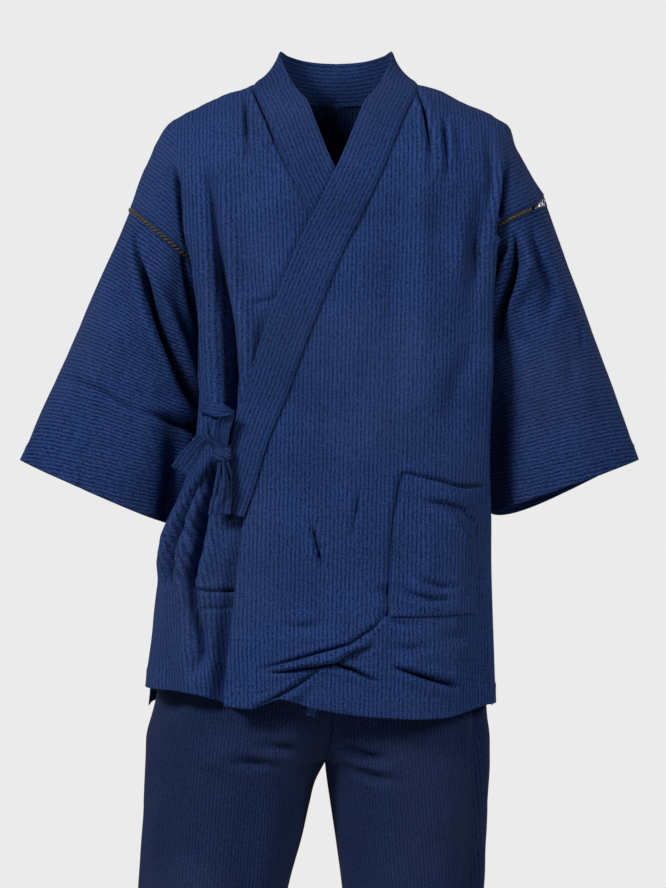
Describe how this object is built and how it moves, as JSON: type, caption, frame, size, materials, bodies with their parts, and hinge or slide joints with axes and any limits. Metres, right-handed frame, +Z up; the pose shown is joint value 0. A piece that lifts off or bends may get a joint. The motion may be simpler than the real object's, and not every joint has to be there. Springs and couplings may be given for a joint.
{
  "type": "jinbei set",
  "caption": "Worn jinbei set in ribbed navy cotton: wrap jacket with laced-on wide sleeves, patch pocket and side tie, over knee-length trousers.",
  "frame": {"origin": "where the wearer's shoulders carry the jacket: on the middle line, at the level of the two neck points, halfway from front to back", "axes": "+Z up, -Y the way the wearer faces, +X to the wearer's left"},
  "size_m": [0.7694, 0.2917, 1.1729],
  "materials": {
    "cloth": "crinkled navy cotton, woven with fine lengthwise ribs, matt",
    "band_cloth": "the same cotton folded double and pressed flat",
    "tie_cloth": "narrow tape of the same cotton, stitched along its edge",
    "lacing_dark": "twisted navy thread",
    "lacing_brown": "twisted brown and navy thread",
    "drawstring": "flat woven cotton tape"
  },
  "bodies": {
    "root": {"body_panel_left": "cloth", "body_panel_right": "cloth", "collar_band": "band_cloth", "pocket": "cloth", "sleeve_left": "cloth", "sleeve_right": "cloth", "sleeve_lacing_left_front": "lacing_brown", "sleeve_lacing_left_back": "lacing_brown", "sleeve_lacing_right_front": "lacing_dark", "sleeve_lacing_right_back": "lacing_dark", "tie_side": "tie_cloth", "tie_front": "tie_cloth", "tie_knot": "tie_cloth", "tie_loop": "tie_cloth", "tie_end_side": "tie_cloth", "tie_end_front": "tie_cloth", "trouser_left": "cloth", "trouser_right": "cloth", "waistband": "band_cloth", "drawstring_long": "drawstring", "drawstring_short": "drawstring"}
  },
  "joints": []
}
